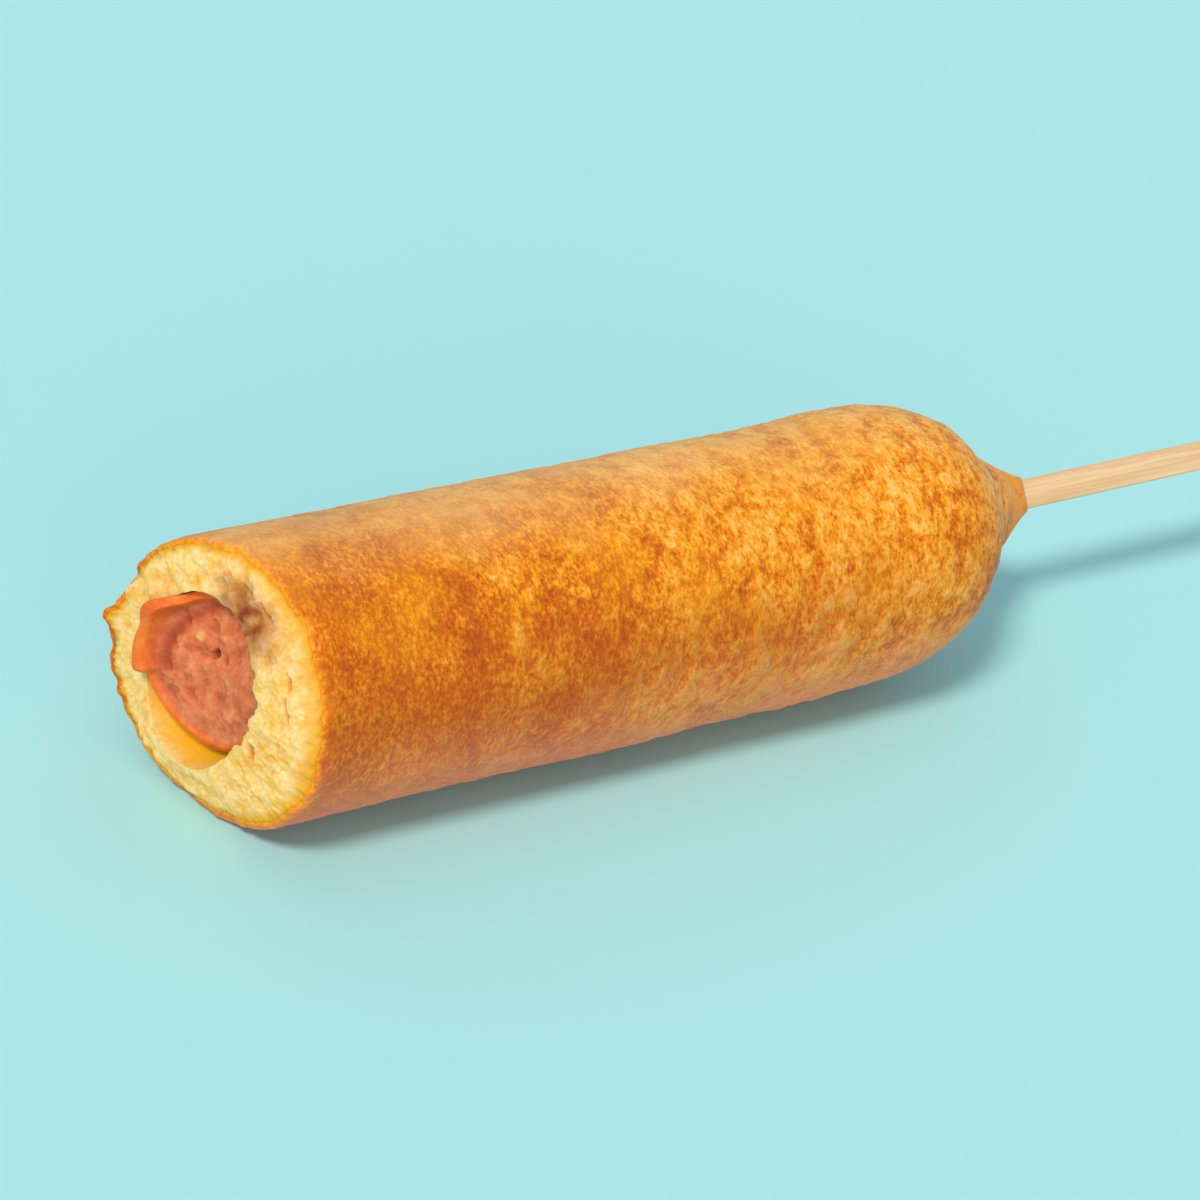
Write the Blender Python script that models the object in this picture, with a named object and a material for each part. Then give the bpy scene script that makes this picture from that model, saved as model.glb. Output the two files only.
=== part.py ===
"""A corn dog with its end bitten off, lying on its side.

It is three pieces, each one closed solid: the fried batter, the sausage that runs through it, and the flat
wooden stick. +X runs along the food from the bite to the stick's handle, and +Z is up. The origin is on the
flat that the batter lies on, near the middle of the food.
"""

import math

import bmesh
import bpy
from mathutils import Euler, Vector, noise

MM = 0.001
GAP = 0.3 * MM  # between pieces that touch

# The batter's outside: a long body, a dome round the sausage's end, and a thin collar along the stick.
FRONT_RADIUS = 21.0 * MM
BACK_RADIUS = 21.7 * MM
COLLAR_END_X = 70.2 * MM
COLLAR_LENGTH = 11 * MM
COLLAR_ROOT_RADIUS = 9.8 * MM
COLLAR_TIP_RADIUS = 2.8 * MM
COLLAR_WALL = 0.35 * MM
COLLAR_FLARE = 1.15
COLLAR_BLEND = 7.0 * MM
COLLAR_SQUARENESS = 5
DOME_LENGTH = 35.5 * MM
DOME_FULLNESS = 3.8
DOME_ROUNDNESS = 1.93
STICK_LIFT = 3.8 * MM  # the stick leaves the dome above the body's middle
STICK_LIFT_CURVE = 1.2
RESTING_CUT = 0.5 * MM  # how much of the round underside the resting flat takes off
UNEVEN_HEIGHT = 0.35 * MM
UNEVEN_SPACING = 16 * MM

# The bitten end. It leans back on the side of angle BITE_LEAN_SIDE, measured round +X from +Y.
BITE_X = -76.9 * MM
BITE_LEAN = 5.2 * MM
BITE_LEAN_SIDE = math.radians(163)
BITE_TWIST = 0.6 * MM
BITE_TWIST_SIDE = math.radians(-89)
BITE_BLEND_LENGTH = 30 * MM
CRUMB_HEIGHT = 0.9 * MM
CRUMB_SPACING = 3.2 * MM
RIM_RAGGEDNESS = 0.5 * MM

# The hole that the sausage fills, and the pocket beside it where the batter has come away.
MOUTH_X = -78.7 * MM
MOUTH_LEAN = 2.4 * MM
MOUTH_LEAN_SIDE = math.radians(150)
POCKET_WIDTH = 4.5 * MM
POCKET_DEPTH = 11 * MM
POCKET_SIDE = math.radians(283)
POCKET_SPREAD = math.radians(68)

# The sausage: a straight cylinder with a round end inside and a bitten end outside.
SAUSAGE_RADIUS = 11.3 * MM
SAUSAGE_FRONT = Vector((-77.5, 1.0, 22.3)) * MM
SAUSAGE_REAR = Vector((52.0, 0.0, 24.0)) * MM
SAUSAGE_ROUNDING = 9 * MM
SAUSAGE_EDGE_LEAN = 3.5 * MM
SAUSAGE_EDGE_LEAN_SIDE = math.radians(143)
SAUSAGE_EDGE_TWIST = 1.4 * MM
SAUSAGE_EDGE_TWIST_SIDE = math.radians(83)
DISH_DEPTH = 1.8 * MM
FLAP_HEIGHT = 2.6 * MM  # a lip of sausage that the bite left standing
FLAP_SIDE = math.radians(-6)
FLAP_SPREAD = math.radians(42)

# The stick, a flat strip of wood turned about its own length.
STICK_LENGTH = 216 * MM
STICK_WIDTH = 4.8 * MM
STICK_THICKNESS = 2.6 * MM
STICK_CORNER = 1.7 * MM
STICK_EDGE = 0.35 * MM
HANDLE_LENGTH = 95 * MM
STICK_ROLL = math.radians(48.9)
STICK_RISE = math.radians(0.46)
STICK_YAW = math.radians(0.40)

DOME_END_X = COLLAR_END_X - COLLAR_LENGTH
DOME_START_X = DOME_END_X - DOME_LENGTH
BATTER_SEGMENTS = 48
SAUSAGE_SEGMENTS = 32


def share_of(x, start, end):
    """How far x is from start to end, from 0 to 1."""
    return min(max((x - start) / (end - start), 0.0), 1.0)


def body_radius(x):
    """The batter's plain radius, which grows slightly from the bite to the dome."""
    return FRONT_RADIUS + (BACK_RADIUS - FRONT_RADIUS) * share_of(x, BITE_X, DOME_START_X)


def outer_radius(x):
    """The batter's radius at x: the body and its dome, blended into the collar on the stick."""
    closing = 1.0 - share_of(x, DOME_START_X, DOME_END_X) ** DOME_FULLNESS
    dome = body_radius(x) * closing ** (1.0 / DOME_ROUNDNESS)
    into_collar = share_of(x, COLLAR_END_X, DOME_END_X)
    collar = COLLAR_TIP_RADIUS + (COLLAR_ROOT_RADIUS - COLLAR_TIP_RADIUS) * into_collar**COLLAR_FLARE
    blend = COLLAR_TIP_RADIUS + (COLLAR_BLEND - COLLAR_TIP_RADIUS) * into_collar
    return max(dome, collar) + max(blend - abs(dome - collar), 0.0) ** 2 / (4 * blend)


def body_height(x):
    """The height of the batter's middle line, which rises along the dome and the collar to the stick."""
    lift = STICK_LIFT * share_of(x, DOME_START_X, COLLAR_END_X) ** STICK_LIFT_CURVE
    return body_radius(x) - RESTING_CUT + lift


def stick_point(x):
    """The stick's middle line at x."""
    beyond = x - COLLAR_END_X
    height = body_height(COLLAR_END_X) + math.tan(STICK_RISE) * beyond
    return Vector((x, math.tan(STICK_YAW) * beyond, height))


def collar_section(angle):
    """How far the collar's tip stands from the stick's middle: a rounded rectangle round the stick's section."""
    half_width = STICK_WIDTH / 2 + GAP + COLLAR_WALL
    half_thickness = STICK_THICKNESS / 2 + GAP + COLLAR_WALL
    turned = angle - STICK_ROLL
    across = abs(math.cos(turned)) / half_width
    through = abs(math.sin(turned)) / half_thickness
    return (across**COLLAR_SQUARENESS + through**COLLAR_SQUARENESS) ** (-1.0 / COLLAR_SQUARENESS)


def rim_x(angle):
    """Where the batter's outer edge was bitten through."""
    lean = BITE_LEAN * math.cos(angle - BITE_LEAN_SIDE)
    twist = BITE_TWIST * math.cos(2 * (angle - BITE_TWIST_SIDE))
    ragged = RIM_RAGGEDNESS * noise.noise(Vector((3 * math.cos(angle), 3 * math.sin(angle), 0.5)))
    return BITE_X + lean + twist + ragged


def batter_outside(x, angle):
    """A point on the batter's outside. Rings near the bite lean with it, and the underside is cut flat."""
    share = max(0.0, 1.0 - (x - BITE_X) / BITE_BLEND_LENGTH)
    x += (rim_x(angle) - BITE_X) * share**2
    into_collar = share_of(x, COLLAR_END_X, DOME_END_X)
    section = collar_section(angle) / COLLAR_TIP_RADIUS
    radius = outer_radius(x) * (1.0 + (section - 1.0) * (1.0 - into_collar) ** 2)
    middle = Vector((x, 0.0, body_height(x)))
    outward = Vector((0.0, math.cos(angle), math.sin(angle)))
    bump = noise.noise((middle + outward * radius) / UNEVEN_SPACING)
    point = middle + outward * (radius + UNEVEN_HEIGHT * bump * into_collar)
    point.z = max(point.z, 0.0)
    return point


def sausage_middle(x):
    """The sausage's middle line at x."""
    share = (x - SAUSAGE_FRONT.x) / (SAUSAGE_REAR.x - SAUSAGE_FRONT.x)
    return SAUSAGE_FRONT.lerp(SAUSAGE_REAR, share)


def near_side(angle, side, spread):
    """1 at the angle side, falling smoothly to 0 at spread away from it."""
    away = abs(math.remainder(angle - side, 2 * math.pi))
    return 0.5 + 0.5 * math.cos(math.pi * min(away / spread, 1.0))


def hole_point(depth, angle):
    """A point on the wall of the sausage's hole, depth inside its mouth. The pocket widens it near the mouth."""
    mouth = MOUTH_X + MOUTH_LEAN * math.cos(angle - MOUTH_LEAN_SIDE)
    leaning = max(0.0, 1.0 - depth / BITE_BLEND_LENGTH)
    x = MOUTH_X + (mouth - MOUTH_X) * leaning + depth
    pocket = POCKET_WIDTH * near_side(angle, POCKET_SIDE, POCKET_SPREAD)
    pocket *= max(0.0, 1.0 - (depth / POCKET_DEPTH) ** 2)
    radius = sausage_radius(x - GAP) + GAP + pocket
    return sausage_middle(x) + Vector((0.0, math.cos(angle), math.sin(angle))) * radius


def crumb_point(share, angle):
    """A point on the bitten batter, share of the way from its outer edge to the hole's mouth."""
    rim = batter_outside(BITE_X, angle)
    mouth = hole_point(0.0, angle)
    point = rim.lerp(mouth, share)
    lump = noise.noise(point / CRUMB_SPACING)
    point.x += CRUMB_HEIGHT * lump * math.sin(math.pi * share)
    return point


def sausage_radius(x):
    """The sausage's radius at x, rounded off at the end inside the batter."""
    into_rounding = (x - (SAUSAGE_REAR.x - SAUSAGE_ROUNDING)) / SAUSAGE_ROUNDING
    into_rounding = min(max(into_rounding, 0.0), 1.0)
    return SAUSAGE_RADIUS * math.sqrt(1.0 - into_rounding**2)


def sausage_side(share, angle):
    """A point on the sausage's side, share of the way from its bitten edge to its rounded end."""
    lean = SAUSAGE_EDGE_LEAN * math.cos(angle - SAUSAGE_EDGE_LEAN_SIDE)
    twist = SAUSAGE_EDGE_TWIST * math.cos(2 * (angle - SAUSAGE_EDGE_TWIST_SIDE))
    flap = -FLAP_HEIGHT * near_side(angle, FLAP_SIDE, FLAP_SPREAD)
    edge = SAUSAGE_FRONT.x + lean + twist + flap
    x = edge + (SAUSAGE_REAR.x - edge) * share
    return sausage_middle(x) + Vector((0.0, math.cos(angle), math.sin(angle))) * sausage_radius(x)


def sausage_face(share, angle):
    """A point on the bitten face, share of the way from its edge to its middle: a shallow dish inside the flap."""
    edge = sausage_side(0.0, angle)
    middle = sausage_middle(SAUSAGE_FRONT.x + DISH_DEPTH)
    point = edge.lerp(middle, share)
    flap = FLAP_HEIGHT * near_side(angle, FLAP_SIDE, FLAP_SPREAD)
    point.x += (flap + 0.5 * DISH_DEPTH) * math.sin(math.pi * share**0.7) ** 2 * (1.0 - share)
    return point


def turned_solid(name, rings, segments, material):
    """A closed solid turned about +X.

    rings lists its rings from one pole to the other. Each is a function from the angle round +X to a point,
    and the first and the last, the poles, give the same point at every angle.
    """
    builder = bmesh.new()
    ring_number = builder.verts.layers.int.new("ring")
    poles = (0, len(rings) - 1)
    profile = []
    for number in range(len(rings)):
        vertex = builder.verts.new((number, 0.0 if number in poles else 1.0, 0.0))
        vertex[ring_number] = number
        profile.append(vertex)
    edges = [builder.edges.new(pair) for pair in zip(profile, profile[1:])]
    bmesh.ops.spin(
        builder,
        geom=profile + edges,
        cent=(0, 0, 0),
        axis=(1, 0, 0),
        angle=2 * math.pi,
        steps=segments,
        use_merge=True,
    )
    bmesh.ops.remove_doubles(builder, verts=builder.verts, dist=0.01)
    half_step = math.pi / segments
    for vertex in builder.verts:
        angle = math.atan2(vertex.co.z, vertex.co.y) + half_step
        vertex.co = rings[vertex[ring_number]](angle)
    bmesh.ops.recalc_face_normals(builder, faces=builder.faces)
    return finished(name, builder, material)


def finished(name, builder, material):
    """The object that the bmesh becomes, smooth but for its sharp edges."""
    mesh = bpy.data.meshes.new(name)
    builder.to_mesh(mesh)
    builder.free()
    mesh.shade_smooth()
    mesh.set_sharp_from_angle(angle=math.radians(40))
    mesh.materials.append(material)
    made = bpy.data.objects.new(name, mesh)
    bpy.context.scene.collection.objects.link(made)
    return made


def plain_material(name, colour, roughness):
    """A Principled material of one colour."""
    material = bpy.data.materials.new(name)
    material.use_nodes = True
    shader = material.node_tree.nodes["Principled BSDF"]
    shader.inputs["Base Color"].default_value = (*colour, 1.0)
    shader.inputs["Roughness"].default_value = roughness
    return material


def spread(start, end, count, power=1.0):
    """count values from start to end, closer together near the start if power is over 1, near the end if under."""
    return [start + (end - start) * (step / (count - 1)) ** power for step in range(count)]


def stick_bar(name, margin, length, handle_end_x, material):
    """A bar along the stick's line, wider and thicker than the stick by margin on every side."""
    builder = bmesh.new()
    bmesh.ops.create_cube(builder, size=1.0)
    size = Vector((length, STICK_WIDTH + 2 * margin, STICK_THICKNESS + 2 * margin))
    bmesh.ops.scale(builder, vec=size, verts=builder.verts)
    bar = finished(name, builder, material)
    bar.location = stick_point(handle_end_x - length / 2)
    bar.rotation_euler = Euler((STICK_ROLL, -STICK_RISE, STICK_YAW), "XYZ")
    return bar


def make_stick(material):
    """The stick, with its four corners rounded off and its long edges eased."""
    stick = stick_bar("stick", 0.0, STICK_LENGTH, COLLAR_END_X + HANDLE_LENGTH, material)
    builder = bmesh.new()
    builder.from_mesh(stick.data)
    corners = [
        edge for edge in builder.edges if abs((edge.verts[0].co - edge.verts[1].co).z) > STICK_THICKNESS / 2
    ]
    bmesh.ops.bevel(
        builder, geom=corners, offset=STICK_CORNER, segments=5, profile=0.5, affect="EDGES", material=-1
    )
    builder.to_mesh(stick.data)
    builder.free()
    easing = stick.modifiers.new("eased edges", "BEVEL")
    easing.width = STICK_EDGE
    easing.segments = 2
    easing.limit_method = "ANGLE"
    easing.angle_limit = math.radians(50)


def make_slot_cutter(material):
    """What cuts the stick's slot in the sausage and the batter: the stick's inner length and a gap round it."""
    end_x = COLLAR_END_X + 5 * MM
    inner_length = STICK_LENGTH - HANDLE_LENGTH + (end_x - COLLAR_END_X) + GAP
    cutter = stick_bar("slot_cutter", GAP, inner_length, end_x, material)
    cutter.hide_render = True
    cutter.display_type = "WIRE"
    return cutter


def cut_slot(piece, cutter):
    """Cuts the stick's slot in a piece."""
    slot = piece.modifiers.new("slot", "BOOLEAN")
    slot.operation = "DIFFERENCE"
    slot.object = cutter


def make_batter(material):
    """The batter: over its outside from the collar to the bite, across the crumb, and down the sausage's hole."""
    collar_middle = stick_point(COLLAR_END_X)
    rings = [lambda angle: collar_middle]
    stations = spread(COLLAR_END_X, DOME_END_X, 9)
    stations += spread(DOME_END_X, DOME_START_X, 15, 1.6)[1:]
    stations += spread(DOME_START_X, BITE_X, 19)[1:]
    rings += [lambda angle, x=x: batter_outside(x, angle) for x in stations]
    rings += [lambda angle, share=share: crumb_point(share, angle) for share in spread(0.0, 1.0, 7)[1:]]
    hole_length = SAUSAGE_REAR.x + GAP - MOUTH_X
    depths = spread(0.0, POCKET_DEPTH, 5)[1:] + spread(POCKET_DEPTH, hole_length - SAUSAGE_ROUNDING, 4)[1:]
    depths += spread(hole_length - SAUSAGE_ROUNDING, hole_length, 6, 0.6)[1:-1]
    rings += [lambda angle, depth=depth: hole_point(depth, angle) for depth in depths]
    hole_end = sausage_middle(SAUSAGE_REAR.x + GAP)
    rings.append(lambda angle: hole_end)
    return turned_solid("batter", rings, BATTER_SEGMENTS, material)


def make_sausage(material):
    """The sausage: from its rounded end along its side to the bitten edge, and across the bitten face."""
    rounding_share = SAUSAGE_ROUNDING / (SAUSAGE_REAR.x - SAUSAGE_FRONT.x)
    rings = [lambda angle: SAUSAGE_REAR]
    shares = spread(1.0, 1.0 - rounding_share, 6, 1.7)[1:] + spread(1.0 - rounding_share, 0.0, 9)[1:]
    rings += [lambda angle, share=share: sausage_side(share, angle) for share in shares]
    rings += [lambda angle, share=share: sausage_face(share, angle) for share in spread(0.0, 1.0, 8)[1:-1]]
    middle = sausage_face(1.0, 0.0)
    rings.append(lambda angle: middle)
    return turned_solid("sausage", rings, SAUSAGE_SEGMENTS, material)


def main():
    for old in list(bpy.data.objects):
        bpy.data.objects.remove(old)
    batter = make_batter(plain_material("batter", (0.68, 0.24, 0.03), 0.7))
    sausage = make_sausage(plain_material("sausage", (0.62, 0.17, 0.07), 0.5))
    wood = plain_material("stick_wood", (0.80, 0.57, 0.31), 0.75)
    make_stick(wood)
    cutter = make_slot_cutter(wood)
    cut_slot(batter, cutter)
    cut_slot(sausage, cutter)


main()
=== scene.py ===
"""The looks of a bitten corn dog: browned crust, torn crumb, sausage and flat wooden stick.

Every length is in metres unless its name says otherwise. An angle round the food is measured from +Y
towards +Z, and +X runs from the bite to the stick's handle.
"""
from __future__ import annotations

import logging
import math
from collections.abc import Callable, Mapping, Sequence
from dataclasses import dataclass, field
from enum import Enum
from typing import Any

import bmesh
import bpy
import numpy as np
from mathutils import Matrix, Vector, noise

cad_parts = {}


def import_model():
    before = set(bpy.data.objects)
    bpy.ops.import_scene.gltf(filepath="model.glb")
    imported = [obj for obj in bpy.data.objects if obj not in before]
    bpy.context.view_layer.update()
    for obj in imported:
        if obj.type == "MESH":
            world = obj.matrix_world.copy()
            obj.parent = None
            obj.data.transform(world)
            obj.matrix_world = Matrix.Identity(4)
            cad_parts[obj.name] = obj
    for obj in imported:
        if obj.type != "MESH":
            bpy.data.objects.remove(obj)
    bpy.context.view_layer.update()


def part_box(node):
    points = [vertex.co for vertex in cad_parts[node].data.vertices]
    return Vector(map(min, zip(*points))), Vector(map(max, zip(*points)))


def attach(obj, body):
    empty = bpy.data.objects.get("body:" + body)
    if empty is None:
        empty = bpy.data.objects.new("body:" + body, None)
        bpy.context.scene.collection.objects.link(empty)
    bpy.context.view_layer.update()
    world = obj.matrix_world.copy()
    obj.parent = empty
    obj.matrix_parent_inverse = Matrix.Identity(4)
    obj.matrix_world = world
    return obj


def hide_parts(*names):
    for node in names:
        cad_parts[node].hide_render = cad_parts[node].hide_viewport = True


LOG = logging.getLogger("corn_dog")
MM = 0.001
GAP = 0.3 * MM
BODY = "root"

Spot = tuple[Vector, tuple[float, ...]]
Place = Callable[[float, float], Spot]
Colour = tuple[float, float, float, float]


# ---------------------------------------------------------------- small sums


def clamp(value: float, low: float = 0.0, high: float = 1.0) -> float:
    """The value, kept between low and high."""
    return min(max(value, low), high)


def share_of(value: float, start: float, end: float) -> float:
    """How far the value is from start to end, from 0 to 1."""
    return clamp((value - start) / (end - start))


def smooth(value: float, start: float = 0.0, end: float = 1.0) -> float:
    """A step from 0 at start to 1 at end with soft ends."""
    share = share_of(value, start, end)
    return share * share * (3.0 - 2.0 * share)


def hump(value: float, middle: float, half_width: float) -> float:
    """1 at the middle, falling smoothly to 0 at half_width away from it."""
    return 1.0 - smooth(abs(value - middle), 0.0, half_width)


def outward(angle: float) -> Vector:
    """The unit vector away from the food's middle line at an angle."""
    return Vector((0.0, math.cos(angle), math.sin(angle)))


@dataclass(frozen=True)
class Sector:
    """A stretch of the way round the food: its middle and its reach to each side, in degrees."""

    middle: float
    reach: float

    def near(self, angle: float) -> float:
        """1 at the sector's middle, falling smoothly to 0 where it ends."""
        away = abs(math.remainder(angle - math.radians(self.middle), math.tau))
        return 0.5 + 0.5 * math.cos(math.pi * min(away / math.radians(self.reach), 1.0))


def lumps(point: Vector, spacing: float, seed: float = 0.0, octaves: int = 1) -> float:
    """Smooth noise from about -1 to 1, whose lumps are about one spacing apart.

    Args:
        point: Where the noise is read.
        spacing: The distance between neighbouring lumps.
        seed: Another seed gives another pattern.
        octaves: How many times a pattern of half the size and strength is added.

    Returns:
        The height of the noise.
    """
    place = point / spacing + Vector((seed, seed * 0.7, -seed * 0.4))
    height = noise.noise(place)
    for octave in range(1, octaves):
        height += noise.noise(place * 2.0**octave) * 0.5**octave
    return height


@dataclass(frozen=True)
class Lumps:
    """One layer of lumps: its height, its spacing, its seed and its octaves, as lumps() takes them."""

    height: float
    spacing: float
    seed: float
    octaves: int = 1


def layered(point: Vector, layers: Sequence[Lumps]) -> float:
    """The height of several layers of lumps on each other."""
    return sum(layer.height * lumps(point, layer.spacing, layer.seed, layer.octaves) for layer in layers)


def holes(point: Vector, spacing: float, radius: float, seed: float = 0.0) -> float:
    """1 at the middle of scattered round holes, 0 away from them.

    Args:
        point: Where the holes are read.
        spacing: The distance between neighbouring holes.
        radius: A hole's radius.
        seed: Another seed gives another pattern.

    Returns:
        How far inside a hole the point is.
    """
    distances, _ = noise.voronoi(point / spacing + Vector((seed, seed, seed)))
    return 1.0 - smooth(math.sqrt(max(distances[0], 0.0)) * spacing, 0.0, radius)


def colour(red: int, green: int, blue: int) -> Colour:
    """The linear colour of a red, green and blue from 0 to 255."""

    def linear(byte: int) -> float:
        """One channel's linear value."""
        share = byte / 255.0
        return share / 12.92 if share <= 0.04045 else ((share + 0.055) / 1.055) ** 2.4

    return (linear(red), linear(green), linear(blue), 1.0)


# ---------------------------------------------------------------- shader maths


class Wire:
    """One shader value. Sums on wires add the Math nodes that work them out."""

    def __init__(self, graph: Graph, socket: bpy.types.NodeSocket) -> None:
        """Wraps an output socket of a node in the graph."""
        self.graph = graph
        self.socket = socket

    def _sum(self, operation: str, first: Wire | float, second: Wire | float) -> Wire:
        """Adds one Math node with two inputs."""
        return self.graph.add("ShaderNodeMath", {"operation": operation}, {0: first, 1: second})

    def __add__(self, other: Wire | float) -> Wire:
        """self + other."""
        return self._sum("ADD", self, other)

    __radd__ = __add__

    def __sub__(self, other: Wire | float) -> Wire:
        """self - other."""
        return self._sum("SUBTRACT", self, other)

    def __rsub__(self, other: Wire | float) -> Wire:
        """other - self."""
        return self._sum("SUBTRACT", other, self)

    def __mul__(self, other: Wire | float) -> Wire:
        """self * other."""
        return self._sum("MULTIPLY", self, other)

    __rmul__ = __mul__

    def step(self, start: float, end: float, low: float = 0.0, high: float = 1.0) -> Wire:
        """A soft step from low, where this value is start, to high, where it is end."""
        return self.graph.add(
            "ShaderNodeMapRange",
            {"interpolation_type": "SMOOTHSTEP"},
            {"Value": self, "From Min": start, "From Max": end, "To Min": low, "To Max": high},
        )


class Graph:
    """The nodes of one material round its Principled shader."""

    def __init__(self, name: str) -> None:
        """Starts a material of that name with a Principled shader and an output."""
        self.material = bpy.data.materials.new(name)
        self.material.use_nodes = True
        self.nodes = self.material.node_tree.nodes
        self.links = self.material.node_tree.links
        self.shader = self.nodes["Principled BSDF"]

    def add(
        self,
        kind: str,
        settings: Mapping[str, Any] | None = None,
        sockets: Mapping[str | int, Any] | None = None,
        output: str | int = 0,
    ) -> Wire:
        """Adds a node.

        Args:
            kind: The node's type.
            settings: Its settings, which are set first. "stops" holds a ramp's (position, colour) pairs.
            sockets: A value or a wire for each input socket, by name or number.
            output: The output socket that is wanted, by name or number.

        Returns:
            That output, as a wire.
        """
        node = self.nodes.new(kind)
        for name, value in (settings or {}).items():
            if name == "stops":
                self._set_stops(node, value)
            else:
                setattr(node, name, value)
        self.feed(node, sockets or {})
        return Wire(self, node.outputs[output])

    def feed(self, node: bpy.types.Node, sockets: Mapping[str | int, Any]) -> None:
        """Gives each named input socket of a node its value or its wire."""
        for name, value in sockets.items():
            if isinstance(value, Wire):
                self.links.new(value.socket, node.inputs[name])
            else:
                node.inputs[name].default_value = value

    @staticmethod
    def _set_stops(node: bpy.types.Node, stops: Sequence[tuple[float, Colour]]) -> None:
        """Gives a ramp its stops."""
        elements = node.color_ramp.elements
        while len(elements) < len(stops):
            elements.new(1.0)
        for element, (position, tint) in zip(elements, stops):
            element.position = position
            element.color = tint

    def position(self, stretch: tuple[float, float, float] = (1.0, 1.0, 1.0)) -> Wire:
        """The place on the object, squeezed by stretch along each axis."""
        place = self.add("ShaderNodeTexCoord", output="Object")
        if stretch == (1.0, 1.0, 1.0):
            return place
        return self.add("ShaderNodeMapping", {}, {"Vector": place, "Scale": stretch})

    def mark(self, name: str) -> Wire:
        """The value that the mesh stores under that name."""
        return self.add("ShaderNodeAttribute", {"attribute_name": name}, output="Fac")

    def clouds(self, place: Wire, spacing: float, detail: float = 2.0, roughness: float = 0.5) -> Wire:
        """Noise from 0 to 1 whose lumps are about one spacing apart."""
        sockets = {"Vector": place, "Scale": 1.0 / spacing, "Detail": detail, "Roughness": roughness}
        return self.add("ShaderNodeTexNoise", {}, sockets)

    def ramp(self, value: Wire, stops: Sequence[tuple[float, Colour]]) -> Wire:
        """The colour that a ramp gives a value."""
        return self.add("ShaderNodeValToRGB", {"stops": stops}, {"Fac": value}, "Color")

    def mix(self, share: Wire | float, first: Wire | Colour, second: Wire | Colour) -> Wire:
        """A colour that is share of the way from the first to the second."""
        sockets = {0: share, 6: first, 7: second}
        return self.add("ShaderNodeMix", {"data_type": "RGBA"}, sockets, 2)

    def bump(self, height: Wire, depth: float, strength: float = 1.0) -> Wire:
        """The normal over a relief whose height runs from 0 to 1 and is depth deep."""
        sockets = {"Height": height, "Distance": depth, "Strength": strength}
        return self.add("ShaderNodeBump", {}, sockets, "Normal")

    def finish(self, sockets: Mapping[str | int, Any]) -> bpy.types.Material:
        """Sets the Principled shader's sockets and returns the material."""
        self.feed(self.shader, sockets)
        return self.material


# ---------------------------------------------------------------- finishes


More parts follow.
